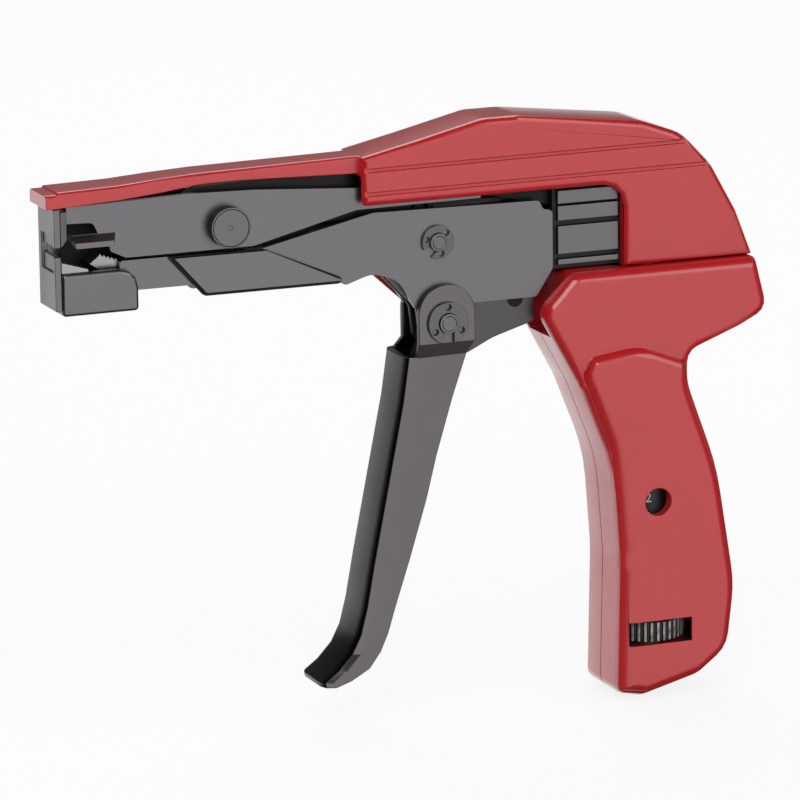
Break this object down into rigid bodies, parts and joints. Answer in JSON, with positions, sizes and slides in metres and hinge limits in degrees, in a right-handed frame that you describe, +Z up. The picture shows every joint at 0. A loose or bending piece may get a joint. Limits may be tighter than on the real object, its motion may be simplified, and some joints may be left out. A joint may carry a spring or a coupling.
{
  "type": "cable tie tensioning tool",
  "caption": "Pistol-shaped hand tool that tensions a cable tie: trigger, rocker and pull bar draw the tail, and a tension setting trips the cutting lever.",
  "frame": {"origin": "front face of the nose plate, middle of the tie slot, on the centre plane", "axes": "+X from the nose back to the grip, +Y to the far side away from the palm panel, +Z up"},
  "size_m": [0.166, 0.0215, 0.1332],
  "materials": {
    "red_paint": "gloss red enamel",
    "black_steel": "black oxide sheet steel",
    "black_paint": "semi-gloss black paint",
    "dark_steel": "dark steel",
    "blued_steel": "blued steel",
    "plain_steel": "plain turned steel",
    "bright_steel": "bright ground steel",
    "lever_steel": "stamped steel",
    "spring_steel": "drawn spring wire",
    "black_plastic": "moulded, ribbed",
    "dial_plastic": "moulded, satin",
    "wheel_plastic": "moulded, ridged"
  },
  "bodies": {
    "frame": {"main_housing": "red_paint", "grip_cover": "red_paint", "housing_screws": "blued_steel", "upper_plate_near": "black_steel", "upper_plate_far": "black_steel", "lower_channel": "black_steel", "trigger_brackets": "dark_steel", "frame_spacers": "plain_steel", "nose_plate": "black_steel", "nose_block": "black_paint", "release_ramp": "bright_steel", "main_rivet": "dark_steel", "link_pin": "dark_steel", "link_clip": "blued_steel", "trigger_pin": "dark_steel", "trigger_clip": "blued_steel", "rear_guide": "black_plastic", "lever_pin": "plain_steel", "return_leaf": "spring_steel", "wheel_washers": "plain_steel"},
    "trigger": {"trigger": "black_paint", "drive_arm": "lever_steel"},
    "rocker": {"rocker": "lever_steel"},
    "pull_bar": {"pull_bar": "lever_steel", "pawl_pin": "plain_steel", "pawl_spring": "spring_steel"},
    "pawl": {"gripper_pawl": "bright_steel"},
    "cutter_lever": {"cutter_lever": "lever_steel"},
    "blade": {"blade": "bright_steel"},
    "tension_lever": {"tension_lever": "lever_steel"},
    "plunger": {"spring_plunger": "lever_steel"},
    "indicator": {"indicator_drum": "dial_plastic", "tension_spring": "spring_steel"},
    "wheel": {"tension_wheel": "wheel_plastic"}
  },
  "joints": [
    {"name": "trigger_hinge", "type": "hinge", "parent": "frame", "child": "trigger", "pos_m": [0.0892, 0, -0.02321], "axis": [0, -1, 0], "range_deg": [0, 28], "stiffness_Nm_per_rad": 0.4, "springref_deg": -11.46, "deforming": ["return_leaf"]},
    {"name": "rocker_hinge", "type": "hinge", "parent": "frame", "child": "rocker", "pos_m": [0.08769, 0, -0.00539], "axis": [0, 1, 0], "range_deg": [0, 49]},
    {"name": "pull_slide", "type": "slide", "parent": "frame", "child": "pull_bar", "axis": [1, 0, 0], "range_m": [0, 0.00598]},
    {"name": "pawl_hinge", "type": "hinge", "parent": "pull_bar", "child": "pawl", "pos_m": [0.01462, 0, -0.00761], "axis": [0, 1, 0], "range_deg": [0, 8], "stiffness_Nm_per_rad": 0.002, "deforming": ["pawl_spring"]},
    {"name": "tension_hinge", "type": "hinge", "parent": "frame", "child": "tension_lever", "pos_m": [0.11994, 0, 0.00199], "axis": [0, 1, 0], "range_deg": [0, 9.6], "stiffness_Nm_per_rad": 0.1, "springref_deg": -2.86},
    {"name": "cutter_hinge", "type": "hinge", "parent": "frame", "child": "cutter_lever", "pos_m": [0.03932, 0, 0.00229], "axis": [0, -1, 0], "range_deg": [0, 3.6]},
    {"name": "blade_slide", "type": "slide", "parent": "frame", "child": "blade", "axis": [0, 0, -1], "range_m": [0, 0.00236]},
    {"name": "plunger_slide", "type": "slide", "parent": "frame", "child": "plunger", "axis": [0, 0, -1], "range_m": [0, 0.00296], "deforming": ["tension_spring"]},
    {"name": "wheel_turn", "type": "hinge", "parent": "frame", "child": "wheel", "pos_m": [0.13728, -0.00305, -0.0967], "axis": [0, 0, -1], "range_deg": [0, 1800]},
    {"name": "indicator_slide", "type": "slide", "parent": "frame", "child": "indicator", "axis": [0, 0, 1], "range_m": [0, 0.0083], "deforming": ["tension_spring"]}
  ],
  "couplings": [
    {"joint": "rocker_hinge", "follows": "trigger_hinge", "ratio": 1.745},
    {"joint": "pull_slide", "follows": "trigger_hinge", "m_per_rad": 0.012216},
    {"joint": "cutter_hinge", "follows": "tension_hinge", "ratio": 0.3735},
    {"joint": "blade_slide", "follows": "tension_hinge", "m_per_rad": 0.013906},
    {"joint": "plunger_slide", "follows": "tension_hinge", "m_per_rad": 0.017547},
    {"joint": "indicator_slide", "follows": "wheel_turn", "m_per_rad": 0.00025465}
  ]
}
